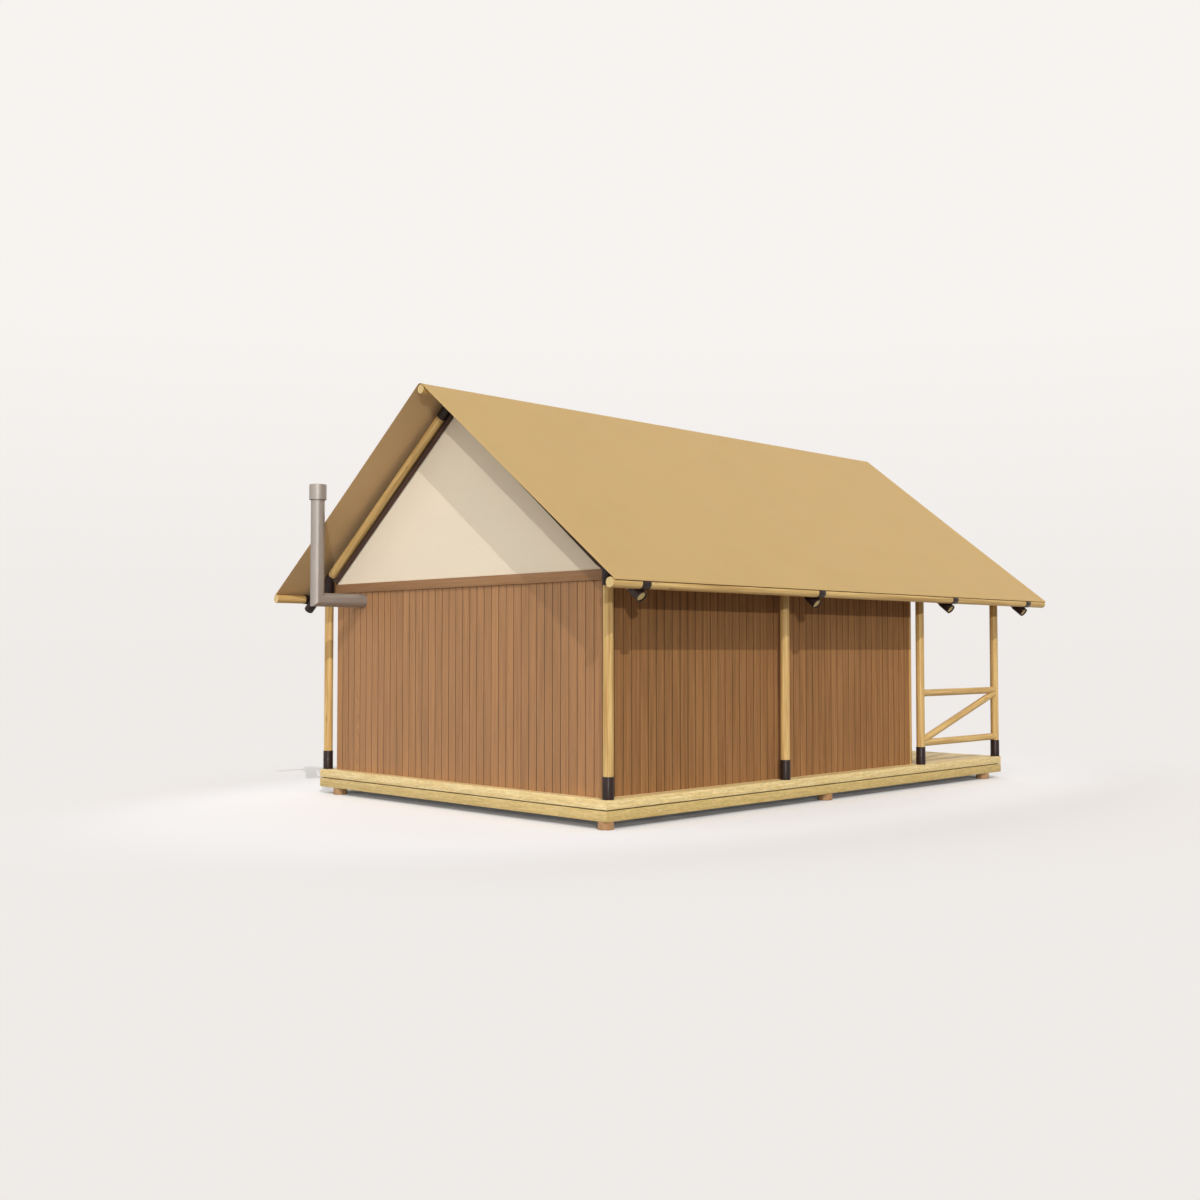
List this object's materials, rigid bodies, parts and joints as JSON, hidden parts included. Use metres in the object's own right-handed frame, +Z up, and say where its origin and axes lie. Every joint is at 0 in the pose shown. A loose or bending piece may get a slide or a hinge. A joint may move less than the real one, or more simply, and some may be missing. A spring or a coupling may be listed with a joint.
{
  "type": "safari tent",
  "caption": "Safari tent on a timber deck: round-pole frame, tight canvas fly over a boarded room with double doors, porch with railings, stove pipe.",
  "frame": {"origin": "middle of the tent's length and width at ground level, under the piers", "axes": "+X along the ridge from the rear wall to the porch, +Y to the left of someone leaving by the doors, +Z up"},
  "size_m": [8.2327, 5.484, 4.3386],
  "materials": {
    "round_wood": "debarked round softwood poles, clear matt coat",
    "cladding": "planed boards with V-joints, brown stain",
    "deck_wood": "planed pale softwood",
    "door_wood": "planed softwood, clear matt coat",
    "dark_steel": "dark powder coat, satin",
    "flue": "satin stainless steel",
    "lever": "dark anodised, satin",
    "fly_canvas": "coated sand-coloured canvas, matt",
    "roof_canvas": "dark brown canvas, matt",
    "gable_canvas": "cream canvas, matt",
    "pane": "clear double pane"
  },
  "bodies": {
    "tent": {"deck_floor": "deck_wood", "deck_frame": "deck_wood", "eave_beam_left": "round_wood", "eave_beam_right": "round_wood", "flue_cap": "flue", "flue_pipe": "flue", "fly_roof": "fly_canvas", "gable_canvas_front": "gable_canvas", "gable_canvas_rear": "gable_canvas", "header_front": "cladding", "header_rear": "cladding", "inner_roof": "roof_canvas", "knee_bracket_left_1": "dark_steel", "knee_bracket_left_2": "dark_steel", "knee_bracket_left_3": "dark_steel", "knee_bracket_left_4": "dark_steel", "knee_bracket_right_1": "dark_steel", "knee_bracket_right_2": "dark_steel", "knee_bracket_right_3": "dark_steel", "knee_bracket_right_4": "dark_steel", "porch_railing_left": "round_wood", "porch_railing_right": "round_wood", "post_left_1": "round_wood", "post_left_2": "round_wood", "post_left_3": "round_wood", "post_left_4": "round_wood", "post_right_1": "round_wood", "post_right_2": "round_wood", "post_right_3": "round_wood", "post_right_4": "round_wood", "post_shoe_left_1": "dark_steel", "post_shoe_left_2": "dark_steel", "post_shoe_left_3": "dark_steel", "post_shoe_left_4": "dark_steel", "post_shoe_right_1": "dark_steel", "post_shoe_right_2": "dark_steel", "post_shoe_right_3": "dark_steel", "post_shoe_right_4": "dark_steel", "rafter_left_1": "round_wood", "rafter_left_2": "round_wood", "rafter_left_3": "round_wood", "rafter_left_4": "round_wood", "rafter_right_1": "round_wood", "rafter_right_2": "round_wood", "rafter_right_3": "round_wood", "rafter_right_4": "round_wood", "ridge_beam": "round_wood", "ridge_bracket_1": "dark_steel", "ridge_bracket_2": "dark_steel", "ridge_bracket_3": "dark_steel", "ridge_bracket_4": "dark_steel", "wall_front": "cladding", "wall_left": "cladding", "wall_rear": "cladding", "wall_right": "cladding"},
    "door_right": {"door_leaf_right": "door_wood", "door_pane_right": "pane"},
    "door_left": {"door_leaf_left": "door_wood", "door_pane_left": "pane"},
    "lever": {"door_lever": "lever"}
  },
  "joints": [
    {"name": "door_right_hinge", "type": "hinge", "parent": "tent", "child": "door_right", "pos_m": [1.83535, -0.798, 1.25], "axis": [0, 0, -1], "range_deg": [0, 170]},
    {"name": "door_left_hinge", "type": "hinge", "parent": "tent", "child": "door_left", "pos_m": [1.83535, 0.798, 1.25], "axis": [0, 0, 1], "range_deg": [0, 170]},
    {"name": "lever_turn", "type": "hinge", "parent": "door_right", "child": "lever", "pos_m": [1.80675, -0.057, 1.3023], "axis": [1, 0, 0], "range_deg": [0, 45], "stiffness_Nm_per_rad": 1.2, "springref_deg": -20.05}
  ]
}
